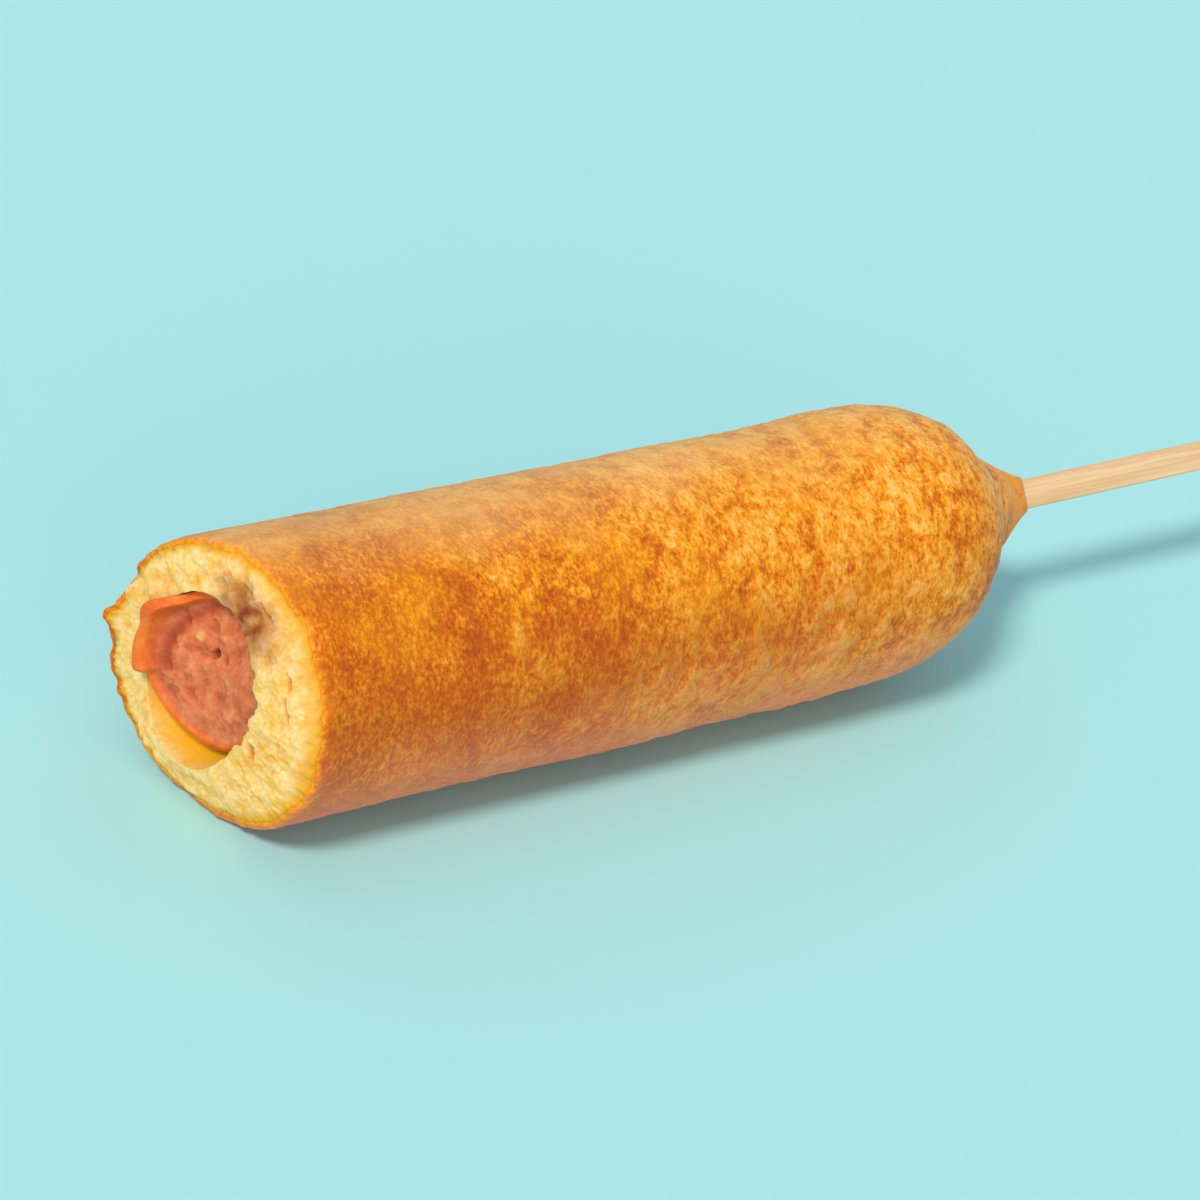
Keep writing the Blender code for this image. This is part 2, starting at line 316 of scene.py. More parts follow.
@dataclass(frozen=True)
class CrustFinish:
    """Fried cornmeal crust: matt, grainy and mottled from golden to brown."""

    brown: Colour = colour(174, 80, 12)
    deep: Colour = colour(206, 104, 12)
    orange: Colour = colour(228, 138, 12)
    golden: Colour = colour(244, 164, 38)
    light: Colour = colour(255, 204, 116)
    honey: Colour = colour(240, 160, 14)
    edge: Colour = colour(252, 160, 20)
    # Painted sheen: the top, where the light falls, is painted pale and rosy.
    painted_top_sheen: Colour = colour(255, 204, 128)
    # Painted shade: the band low on the side, where less light falls, is painted deep red-brown. The same
    # colour browns the back of the rim and adds painted warmth on the back side.
    painted_shade_and_burnt_rim: Colour = colour(176, 74, 16)
    # Painted sheen: the lower edge, seen at a grazing angle, is painted rosy and pale.
    painted_belly_sheen: Colour = colour(255, 140, 108)
    patch_spacing: float = 9 * MM
    honey_spacing: float = 13 * MM
    mottle_spacing: float = 3.4 * MM
    grain_spacing: float = 1.1 * MM
    speck_spacing: float = 0.55 * MM
    squeeze: float = 0.72
    stops: tuple[float, ...] = (0.12, 0.33, 0.48, 0.62, 0.95)
    patch_share: float = 0.55
    mottle_share: float = 0.32
    grain_share: float = 0.38
    speck_share: float = 0.8
    relief_share: float = 0.38
    honey_share: float = 0.3
    painted_shade_and_burnt_rim_share: float = 0.5
    painted_top_sheen_share: float = 0.55
    painted_belly_sheen_share: float = 0.7

    def material(self) -> bpy.types.Material:
        """The crust's material."""
        graph = Graph("crust")
        place = graph.position((1.0, self.squeeze, self.squeeze))
        patches = graph.clouds(place, self.patch_spacing)
        mottle = graph.clouds(place, self.mottle_spacing, 3.0)
        grain = graph.clouds(place, self.grain_spacing, 3.0, 0.65)
        specks = graph.clouds(place, self.speck_spacing, 2.0, 0.6)
        # The tone rises with the grain and specks that also make the bump, and with the mesh's relief mark.
        # So the crust is painted lighter where it stands out and darker in its pits: painted highlight and
        # painted shade over its own mottling.
        tone: Wire | float = 0.5
        for layer, share in (
            (patches, self.patch_share),
            (mottle, self.mottle_share),
            (grain, self.grain_share),
            (specks, self.speck_share),
            (graph.mark("relief"), self.relief_share),
        ):
            tone = tone + (layer - 0.5) * share
        tints = (self.brown, self.deep, self.orange, self.golden, self.light)
        browned = graph.ramp(tone, list(zip(self.stops, tints)))
        honey = graph.clouds(place, self.honey_spacing).step(0.46, 0.7)
        browned = graph.mix(honey * self.honey_share, browned, self.honey)
        uneven = mottle.step(0.3, 0.7, 0.75, 1.2)
        # Painted light and shade mixed over the browned tone: a paler top, a darker band low on the side and
        # a rosy lower edge. On the back side the darker and rosy colours are painted warmth against the teal
        # ambient light.
        for mark, share, tint in (
            ("painted_shade_and_burnt_rim", self.painted_shade_and_burnt_rim_share, self.painted_shade_and_burnt_rim),
            ("painted_top_sheen", self.painted_top_sheen_share, self.painted_top_sheen),
            ("painted_belly_sheen", self.painted_belly_sheen_share, self.painted_belly_sheen),
        ):
            browned = graph.mix(graph.mark(mark) * uneven * share, browned, tint)
        browned = graph.mix(graph.mark("edge"), browned, self.edge)
        height = grain * 0.5 + specks * 0.5
        return graph.finish(
            {
                "Base Color": browned,
                "Roughness": specks.step(0.2, 0.8, 0.72, 0.5),
                "Specular IOR Level": 0.18,
                "Sheen Weight": 0.22,
                "Sheen Roughness": 0.35,
                "Sheen Tint": colour(255, 214, 205),
                "Normal": graph.bump(height, 0.35 * MM, 0.8),
            }
        )


@dataclass(frozen=True)
class CrumbFinish:
    """Torn baked crumb: pale yellow, golden under the crust and deep in the hole, with painted shade in its
    pores, cracks and low spots.
    """

    pale: Colour = colour(251, 192, 82)
    cream: Colour = colour(255, 218, 150)
    # Painted shade: the pores, cracks and low spots are painted a deeper gold.
    pore_shade: Colour = colour(230, 152, 24)
    under_crust: Colour = colour(238, 170, 40)
    amber: Colour = colour(230, 172, 18)
    # A real juice stain, and painted shade in the hollow beside the sausage and in the cracks.
    stained_and_shaded: Colour = colour(150, 62, 30)
    lump_spacing: float = 2.4 * MM
    grain_spacing: float = 0.6 * MM

    def material(self) -> bpy.types.Material:
        """The crumb's material."""
        graph = Graph("crumb")
        place = graph.position()
        clouds = graph.clouds(place, self.lump_spacing, 3.0)
        grain = graph.clouds(place, self.grain_spacing, 3.0, 0.6)
        baked = graph.mix((clouds * 0.6 + grain * 0.4).step(0.36, 0.62), self.pale, self.cream)
        baked = graph.mix(graph.mark("pore_shade"), baked, self.pore_shade)
        baked = graph.mix(graph.mark("wall"), baked, self.amber)
        baked = graph.mix(graph.mark("stain_and_shade"), baked, self.stained_and_shaded)
        baked = graph.mix(graph.mark("edge"), baked, self.under_crust)
        return graph.finish(
            {
                "Base Color": baked,
                "Roughness": grain.step(0.2, 0.8, 0.85, 0.65),
                "Specular IOR Level": 0.2,
                "Subsurface Weight": 0.45,
                "Subsurface Radius": (1.0, 0.65, 0.3),
                "Subsurface Scale": 2.0 * MM,
                "Normal": graph.bump(grain, 0.2 * MM, 0.5),
            }
        )


@dataclass(frozen=True)
class SausageFinish:
    """Cooked sausage: orange skin round a pinkish, uneven, moist inside."""

    meat: Colour = colour(216, 118, 68)
    meat_light: Colour = colour(238, 156, 108)
    meat_dark: Colour = colour(186, 80, 40)
    skin: Colour = colour(240, 130, 36)
    skin_dark: Colour = colour(222, 102, 22)
    # Painted shade: the foot of the flap, the tears and the hollows of the face are painted dark red.
    recess_shade: Colour = colour(146, 40, 14)
    fat: Colour = colour(226, 168, 92)
    # Painted shade: the small deep pit in the face is painted near black.
    pit_shade: Colour = colour(60, 24, 14)
    lump_spacing: float = 2.2 * MM
    grain_spacing: float = 0.7 * MM

    def material(self) -> bpy.types.Material:
        """The sausage's material."""
        graph = Graph("sausage")
        place = graph.position()
        clouds = graph.clouds(place, self.lump_spacing, 3.0, 0.6)
        grain = graph.clouds(place, self.grain_spacing, 3.0, 0.6)
        # The tone rises with the grain that also makes the bump and with the relief mark. So the face is
        # painted lighter on its bumps and darker in its tears: painted highlight and painted shade over the
        # meat's own mottling.
        tone = clouds * 0.6 + grain * 0.25 + graph.mark("relief") * 0.35 - 0.1
        inside = graph.ramp(tone, [(0.3, self.meat_dark), (0.5, self.meat), (0.75, self.meat_light)])
        outside = graph.mix(clouds.step(0.35, 0.7), self.skin_dark, self.skin)
        flesh = graph.mix(graph.mark("skin"), inside, outside)
        flesh = graph.mix(graph.mark("recess_shade"), flesh, self.recess_shade)
        flesh = graph.mix(graph.mark("fat"), flesh, self.fat)
        flesh = graph.mix(graph.mark("pit"), flesh, self.pit_shade)
        return graph.finish(
            {
                "Base Color": flesh,
                "Roughness": grain.step(0.3, 0.7, 0.55, 0.4),
                "Specular IOR Level": 0.35,
                "Subsurface Weight": 0.3,
                "Subsurface Radius": (1.0, 0.35, 0.2),
                "Subsurface Scale": 1.0 * MM,
                "Normal": graph.bump(grain, 0.2 * MM, 0.6),
            }
        )


@dataclass(frozen=True)
class WoodFinish:
    """Plain pale birch with its grain along the stick."""

    pale: Colour = colour(238, 208, 164)
    dark: Colour = colour(218, 180, 130)
    grain_spacing: float = 0.5 * MM
    band_spacing: float = 1.6 * MM
    grain_stretch: float = 0.035

    def material(self) -> bpy.types.Material:
        """The stick's material."""
        graph = Graph("stick_wood")
        place = graph.position((self.grain_stretch, 1.0, 1.0))
        grain = graph.clouds(place, self.grain_spacing, 3.0, 0.6)
        bands = graph.clouds(place, self.band_spacing)
        wood = graph.mix((grain * 0.6 + bands * 0.5).step(0.35, 0.75), self.dark, self.pale)
        return graph.finish(
            {
                "Base Color": wood,
                "Roughness": grain.step(0.2, 0.8, 0.75, 0.6),
                "Specular IOR Level": 0.25,
                "Normal": graph.bump(grain, 0.05 * MM, 0.5),
            }
        )


@dataclass(frozen=True)
class FloorFinish:
    """The plain pale blue floor."""

    blue: Colour = colour(171, 230, 234)

    def material(self) -> bpy.types.Material:
        """The floor's material."""
        graph = Graph("floor")
        return graph.finish({"Base Color": self.blue, "Roughness": 0.9, "Specular IOR Level": 0.0})


# ---------------------------------------------------------------- turned pieces


@dataclass(frozen=True)
class Stretch:
    """One stretch of a turned piece's outline.

    Attributes:
        rings: How many rings of points it has.
        place: Gives the point and the marks at a share along the stretch and an angle.
    """

    rings: int
    place: Place


def turn(name: str, stretches: Sequence[Stretch], segments: int, marks: Sequence[str]) -> bpy.types.Object:
    """Turns a piece about +X and closes it.

    The stretches follow each other round the piece's outline. The outline either ends where it starts, or
    starts and ends on the middle line.

    Args:
        name: The piece's name.
        stretches: The outline.
        segments: How many steps the full turn has.
        marks: The names of the values that the places give with each point.

    Returns:
        The closed piece, smooth shaded.
    """
    rows = []
    for stretch in stretches:
        rows += [(stretch, step / max(stretch.rings - 1, 1)) for step in range(stretch.rings)]
    builder = bmesh.new()
    layers = [builder.verts.layers.float.new(mark) for mark in marks]
    ends = [builder.verts.new((end, 1.0, 0.0)) for end in (0.0, len(rows) - 1.0)]
    edge = builder.edges.new(ends)
    bmesh.ops.subdivide_edges(builder, edges=[edge], cuts=len(rows) - 2)
    bmesh.ops.spin(
        builder,
        geom=list(builder.verts) + list(builder.edges),
        cent=(0, 0, 0),
        axis=(1, 0, 0),
        angle=math.tau,
        steps=segments,
        use_merge=True,
    )
    for vertex in builder.verts:
        stretch, share = rows[round(vertex.co.x)]
        vertex.co, values = stretch.place(share, math.atan2(vertex.co.z, vertex.co.y))
        for layer, value in zip(layers, values):
            vertex[layer] = value
    bmesh.ops.remove_doubles(builder, verts=builder.verts, dist=1e-6)
    bmesh.ops.recalc_face_normals(builder, faces=builder.faces)
    return made_object(name, builder)


def made_object(name: str, builder: bmesh.types.BMesh) -> bpy.types.Object:
    """The smooth shaded object that a bmesh becomes."""
    mesh = bpy.data.meshes.new(name)
    builder.to_mesh(mesh)
    builder.free()
    mesh.shade_smooth()
    made = bpy.data.objects.new(name, mesh)
    bpy.context.scene.collection.objects.link(made)
    return made


# ---------------------------------------------------------------- the batter's form


@dataclass(frozen=True)
class BatterForm:
    """The batter's form, shared by its crust and its crumb.

    The body is a long round with a dome and a thin collar at the stick, and a bite across its front that
    leans back on one side.
    """

    collar_end_x: float
    stick_width: float = 4.8 * MM
    stick_thickness: float = 2.6 * MM
    stick_roll: float = math.radians(48.9)
    front_radius: float = 21.0 * MM
    back_radius: float = 21.7 * MM
    collar_length: float = 11 * MM
    collar_root_radius: float = 9.8 * MM
    collar_tip_radius: float = 2.8 * MM
    collar_wall: float = 0.35 * MM
    collar_flare: float = 1.15
    collar_blend: float = 7.0 * MM
    collar_squareness: float = 5
    dome_length: float = 35.5 * MM
    dome_fullness: float = 3.8
    dome_roundness: float = 1.93
    stick_lift: float = 3.8 * MM
    stick_lift_curve: float = 1.2
    resting_cut: float = 0.5 * MM
    uneven_height: float = 0.35 * MM
    uneven_spacing: float = 16 * MM
    throat_reach: float = 4.5 * MM
    throat_fade: float = 4 * MM
    bite_offset: float = 147.1 * MM
    bite_lean: float = 5.2 * MM
    bite_lean_side: float = math.radians(163)
    bite_twist: float = 0.6 * MM
    bite_twist_side: float = math.radians(-89)
    bite_blend_length: float = 30 * MM

    @property
    def bite_x(self) -> float:
        """The middle of the bite's outer edge."""
        return self.collar_end_x - self.bite_offset

    @property
    def dome_end_x(self) -> float:
        """Where the dome meets the collar."""
        return self.collar_end_x - self.collar_length

    @property
    def dome_start_x(self) -> float:
        """Where the body starts to close."""
        return self.dome_end_x - self.dome_length

    def body_radius(self, x: float) -> float:
        """The body's plain radius."""
        grown = share_of(x, self.bite_x, self.dome_start_x)
        return self.front_radius + (self.back_radius - self.front_radius) * grown

    def radius(self, x: float) -> float:
        """The batter's radius at x, with its dome and collar."""
        closing = 1.0 - share_of(x, self.dome_start_x, self.dome_end_x) ** self.dome_fullness
        dome = self.body_radius(x) * closing ** (1.0 / self.dome_roundness)
        into = share_of(x, self.collar_end_x, self.dome_end_x)
        collar = self.collar_tip_radius
        collar += (self.collar_root_radius - self.collar_tip_radius) * into**self.collar_flare
        blend = self.collar_tip_radius + (self.collar_blend - self.collar_tip_radius) * into
        return max(dome, collar) + max(blend - abs(dome - collar), 0.0) ** 2 / (4 * blend)

    def height(self, x: float) -> float:
        """The height of the batter's middle line."""
        lift = self.stick_lift * share_of(x, self.dome_start_x, self.collar_end_x) ** self.stick_lift_curve
        return self.body_radius(x) - self.resting_cut + lift

    def middle(self, x: float) -> Vector:
        """The batter's middle line at x."""
        return Vector((x, 0.0, self.height(x)))

    def stick_section(self, angle: float, margin: float) -> float:
        """How far a rounded rectangle stands from the stick's middle, margin outside the stick."""
        turned = angle - self.stick_roll
        across = abs(math.cos(turned)) / (self.stick_width / 2 + margin)
        through = abs(math.sin(turned)) / (self.stick_thickness / 2 + margin)
        power = self.collar_squareness
        return (across**power + through**power) ** (-1.0 / power)

    def rim_shift(self, angle: float) -> float:
        """How far the bite's outer edge is from the bite's middle along X."""
        lean = self.bite_lean * math.cos(angle - self.bite_lean_side)
        return lean + self.bite_twist * math.cos(2 * (angle - self.bite_twist_side))

    def leant(self, x: float, angle: float) -> float:
        """Where a point of the straight batter at x goes because the bite leans."""
        share = max(0.0, 1.0 - (x - self.bite_x) / self.bite_blend_length)
        return x + self.rim_shift(angle) * share * share

    def surface(self, x: float, radius: float, angle: float) -> Vector:
        """A point on the plain outside, where the round outline has that radius."""
        into = share_of(x, self.collar_end_x, self.dome_end_x)
        section = self.stick_section(angle, GAP + self.collar_wall) / self.collar_tip_radius
        point = self.middle(x) + outward(angle) * radius * (1.0 + (section - 1.0) * (1.0 - into) ** 2)
        return point + outward(angle) * self.uneven_height * noise.noise(point / self.uneven_spacing) * into

    def outline(self, count: int, crowding: float) -> list[tuple[float, ...]]:
        """The outline from the collar's end to the bite, evenly stepped, with a soft throat at the collar.

        Args:
            count: How many points are wanted.
            crowding: How much closer they lie at the bite than at the dome.

        Returns:
            Each point's x and radius, and its normal's part along X and outwards.
        """
        xs = np.linspace(self.collar_end_x, self.bite_x, 3000)
        radii = np.array([self.radius(x) for x in xs])
        steps = np.hypot(np.diff(xs), np.diff(radii))
        steps *= np.interp(xs[1:], (self.bite_x, self.dome_start_x), (crowding, 1.0))
        travelled = np.concatenate(([0.0], np.cumsum(steps)))
        even = np.linspace(0.0, travelled[-1], count)
        xs, radii = np.interp(even, travelled, xs), np.interp(even, travelled, radii)
        reach = round(self.throat_reach / (even[1] - even[0]))
        bell = np.hanning(2 * reach + 1) / np.hanning(2 * reach + 1).sum()
        blurred = [np.convolve(np.pad(row, reach, "edge"), bell, "valid") for row in (xs, radii)]
        fade, dome_end, end = self.throat_fade, self.dome_end_x, self.collar_end_x
        share = np.interp(xs, (dome_end - 3 * fade, dome_end - fade, end - fade, end), (0.0, 1.0, 1.0, 0.0))
        xs, radii = (row + (soft - row) * share for row, soft in zip((xs, radii), blurred))
        along, out = np.gradient(xs), np.gradient(radii)
        length = np.hypot(along, out)
        return list(zip(xs, radii, out / length, -along / length))


@dataclass(frozen=True)
class SausageForm:
    """The sausage's plain form: a cylinder with a rounded rear, bitten at its front."""

    rear_x: float
    rear_height: float = 24.0 * MM
    front: Vector = field(default_factory=lambda: Vector((-77.5, 1.0, 22.3)) * MM)
    radius: float = 11.3 * MM
    rounding: float = 9 * MM

    @property
    def rounded_from(self) -> float:
        """Where the rounded rear starts."""
        return self.rear_x - self.rounding

    def middle(self, x: float) -> Vector:
        """The sausage's middle line at x."""
        rear = Vector((self.rear_x, 0.0, self.rear_height))
        return self.front.lerp(rear, (x - self.front.x) / (self.rear_x - self.front.x))

    def radius_at(self, x: float) -> float:
        """The sausage's radius at x."""
        into = share_of(x, self.rounded_from, self.rear_x)
        return self.radius * math.sqrt(1.0 - into * into)


# ---------------------------------------------------------------- crust


@dataclass
class Crust:
    """The browned outside of the batter, a closed shell from the collar to the bite and back inside."""

    form: BatterForm
    sausage: SausageForm
    finish: CrustFinish = field(default_factory=CrustFinish)
    thickness: float = 1.1 * MM
    rings: int = 322
    rim_rings: int = 6
    inner_rings: int = 19
    segments: int = 288
    marks: tuple[str, ...] = ("relief", "edge", "painted_top_sheen", "painted_shade_and_burnt_rim", "painted_belly_sheen")
    crowding: float = 1.35
    blister_spacing: float = 3.4 * MM
    blister_narrowing: float = 0.6 * MM
    blister_height: float = 0.16 * MM
    grain_layers: tuple[Lumps, ...] = (Lumps(1.0, 1.25 * MM, 7.0), Lumps(0.6, 0.8 * MM, 11.0))
    grain_height: float = 0.12 * MM
    pit_spacing: float = 5.2 * MM
    pitted_spacing: float = 9 * MM
    pit_radius: float = 0.9 * MM
    pit_depth: float = 0.28 * MM
    rim_reach: float = 5 * MM
    rim_layers: tuple[Lumps, ...] = (
        Lumps(1.0, 5 * MM, 1.0),
        Lumps(0.7, 1.9 * MM, 4.0),
        Lumps(0.4, 1.0 * MM, 6.0),
    )
    rim_ragged: float = 0.75 * MM
    rim_bulge: float = 0.25 * MM
    rim_torn: float = 0.3 * MM
    rounded_length: float = 2.4 * MM
    rim_rounding: float = 0.35 * MM
    under_rounding: float = 1.1 * MM
    under: Sector = Sector(270, 75)
    flake_place: Sector = Sector(357, 5)
    flake_length: float = 1.1 * MM
    flake_lift: float = 0.9 * MM
    chip: Sector = Sector(15, 11)
    chip_depth: float = 2.0 * MM
    # Where round the food the painted sheen of the top lies.
    painted_top_sheen: Sector = Sector(66, 54)
    # Where round the food the painted shade low on the side lies.
    painted_shade_and_burnt_rim: Sector = Sector(168, 34)
    # Where round the food the painted sheen of the lower edge lies.
    painted_belly_sheen: Sector = Sector(234, 70)
    # The back side, painted warmer and rosier to offset the teal ambient light: painted light.
    rear: Sector = Sector(-12, 78)
    burnt: Sector = Sector(-10, 85)
    wander: float = math.radians(14)
    wander_spacing: float = 14 * MM
    tail_before_dome: float = 22 * MM
    tail_into_dome: float = 8 * MM
    darker_front: float = 0.44
    lighter_tail: float = 0.62
    patchy_spacing: float = 2.6 * MM
    rim_gold: float = 0.15
    collar_gold: float = 0.8
    collar_gold_reach: float = 6 * MM
    hollow: tuple[tuple[float, float], ...] = ((3 * MM, 1.0), (13 * MM, 2.5))
    hollow_end: float = 14 * MM
    outline: list[tuple[float, ...]] = field(default_factory=list)

    def relief(self, point: Vector, x: float) -> tuple[float, float]:
        """The fine relief of the fried surface.

        Args:
            point: The point on the plain surface.
            x: Its place along the food.

        Returns:
            How far the surface stands out, and the same as a mark from 0 to 1, which paints the raised grain
            and blisters lighter and the pits darker as painted highlight and painted shade.
        """
        back = smooth(x, self.form.bite_x, self.form.dome_start_x)
        place = Vector((point.x, point.y * self.finish.squeeze, point.z * self.finish.squeeze))
        blisters = lumps(place, self.blister_spacing - self.blister_narrowing * back, 3.0, 2)
        blisters *= 0.6 + 0.7 * back
        grain = layered(place, self.grain_layers) * (0.7 + 0.5 * back)
        pits = holes(point, self.pit_spacing, self.pit_radius, 5.0)
        pits *= smooth(lumps(point, self.pitted_spacing, 2.0), -0.1, 0.3)
        height = self.blister_height * blisters + self.grain_height * grain - self.pit_depth * pits
        mark = (0.5 + 0.15 * back) * grain + (0.25 + 0.1 * back) * blisters
        return height, clamp(0.5 + mark - 0.9 * pits)

    def ragged(self, angle: float) -> float:
        """How far the bite's edge is torn from its smooth line, with one flake left and one chip gone."""
        torn = self.rim_ragged * layered(outward(angle) * self.form.front_radius, self.rim_layers)
        return torn - self.flake_length * self.flake(angle) + self.chip_depth * self.chip.near(angle) ** 0.6

    def flake(self, angle: float) -> float:
        """1 across the flake of crust that stands at the bite's edge, 0 away from it."""
        return self.flake_place.near(angle) ** 0.5

    def near_bite(self, x: float) -> float:
        """1 at the bite's edge, falling evenly to 0 at the rim's reach behind it."""
        return 1.0 - share_of(x, self.form.bite_x, self.form.bite_x + self.rim_reach)

    def outside(self, share: float, angle: float) -> Spot:
        """The fried surface, from the collar's end to the bite."""
        x, radius, lean_x, lean_out = self.outline[round(share * (self.rings - 1))]
        point = self.form.surface(x, radius, angle)
        at_collar = smooth(x, self.form.collar_end_x, self.form.dome_end_x + 3 * MM)
        height, mark = self.relief(point, x)
        point += (Vector((lean_x, 0.0, 0.0)) + outward(angle) * lean_out) * height * at_collar
        near_bite = self.near_bite(x)
        point.x = self.form.leant(point.x, angle) + self.ragged(angle) * near_bite**2
        from_edge = share_of(x, self.form.bite_x, self.form.bite_x + self.rounded_length)
        rounding = 1.0 - math.sqrt(1.0 - (1.0 - from_edge) ** 2)
        rounding *= self.rim_rounding + self.under_rounding * self.under.near(angle)
        point += outward(angle) * (self.flake_lift * self.flake(angle) * near_bite**6 - rounding)
        point.z = max(point.z, 0.0)
        return point, self.browning(x, angle, mark, point)

    def browning(self, x: float, angle: float, mark: float, point: Vector) -> tuple[float, ...]:
        """The marks of the fried surface.

        Args:
            x: The place along the food, before the bite leans.
            angle: The direction round the food.
            mark: How far the relief stands out there, from 0 to 1.
            point: The point on the surface.

        Returns:
            How light it is, its share of golden edge, and its shares of painted sheen on the top, painted
            shade low on the side and painted sheen along the lower edge, the last two also being painted
            warmth on the back side.
        """
        form = self.form
        near_bite = self.near_bite(x)
        patchy = clamp(0.7 + 0.9 * lumps(point, self.patchy_spacing, 19.0, 2))
        at_rim = self.rim_gold * (smooth(near_bite, 0.1, 0.8) + smooth(near_bite, 0.7, 1.0))
        at_collar = self.collar_gold * smooth(x, form.dome_end_x, form.dome_end_x + self.collar_gold_reach)
        edge = max(at_rim, at_collar) * patchy
        golden = self.lighter_tail * smooth(x, form.bite_x + self.rim_reach, form.dome_start_x)
        golden -= self.darker_front
        turned = angle + self.wander * lumps(point, self.wander_spacing, 21.0)
        tail = smooth(x, form.dome_start_x - self.tail_before_dome, form.dome_start_x + self.tail_into_dome)
        rear = self.rear.near(turned)
        # Painted sheen on the top, weaker towards the tail.
        painted_top_sheen = self.painted_top_sheen.near(turned) * (1.0 - 0.4 * tail)
        # Painted shade low on the side, weaker towards the tail, plus painted warmth on the back side.
        painted_shade_and_burnt_rim = self.painted_shade_and_burnt_rim.near(turned) * (1.0 - 0.5 * tail) + 0.55 * rear
        # Painted sheen along the lower edge, plus painted warmth on the back side.
        painted_belly_sheen = max(self.painted_belly_sheen.near(turned) ** 0.75, 0.5 * rear)
        return clamp(mark + golden), clamp(edge), painted_top_sheen, painted_shade_and_burnt_rim, painted_belly_sheen

    def rim(self, share: float, angle: float) -> Spot:
        """The torn edge of the crust, from its outside to its inside."""
        point, _ = self.outside(1.0, angle)
        step = share * self.thickness
        torn = self.rim_torn * lumps(point + outward(angle) * step * 2, 0.9 * MM, 9.0) * min(share * 2.5, 1.0)
        point -= outward(angle) * step
        point.x += torn - self.rim_bulge * math.sin(math.pi * min(share * 1.2, 1.0))
        # Towards the back the rim is burnt browner, in the same colour as the painted shade low on the side.
        burnt = 0.5 * self.burnt.near(angle)
        return point, (clamp(0.5 + torn / (0.5 * MM) - burnt), 0.45 - 0.7 * burnt, 0.0, 0.5 * burnt, 0.0)

    def inner(self, share: float, angle: float) -> Spot:
        """The hidden inside: back under the crumb, along the sausage's hole and along the stick."""
        form, rear_x = self.form, self.sausage.rear_x
        hidden = (0.5, 0.6, 0.0, 0.0, 0.0)
        step = round(share * (self.inner_rings - 1))
        if step < len(self.hollow):
            depth, walls = self.hollow[step]
            x = form.bite_x + depth
            point = form.middle(x) + outward(angle) * (form.front_radius - walls * self.thickness)
            point.x = form.leant(x, angle)
            return point, hidden
        along = (step - len(self.hollow)) / (self.inner_rings - 1 - len(self.hollow))
        start_x = form.bite_x + self.hollow_end
        x = start_x + (form.collar_end_x - start_x) * along
        stick = form.stick_section(angle, 0.1 * MM)
        radius = max(self.sausage.radius_at(x) + GAP, stick) if x < rear_x + GAP else stick
        middle = self.sausage.middle(min(x, rear_x))
        middle = middle.lerp(form.middle(form.collar_end_x), smooth(x, rear_x, form.collar_end_x))
        middle.x = x
        return middle + outward(angle) * radius, hidden

    def build(self) -> bpy.types.Object:
        """Makes the shell."""
        self.outline = self.form.outline(self.rings, self.crowding)
        stretches = [
            Stretch(self.rings, self.outside),
            Stretch(self.rim_rings, self.rim),
            Stretch(self.inner_rings, self.inner),
            Stretch(1, self.outside),
        ]
        piece = turn("crust", stretches, self.segments, self.marks)
        piece.data.materials.append(self.finish.material())
        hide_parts("batter")
        return piece


# ---------------------------------------------------------------- crumb


@dataclass(frozen=True)
class Crack:
    """A deep crack in the crumb: its sector, and its middle and width across the face as shares."""

    sector: Sector
    middle: float
    width: float


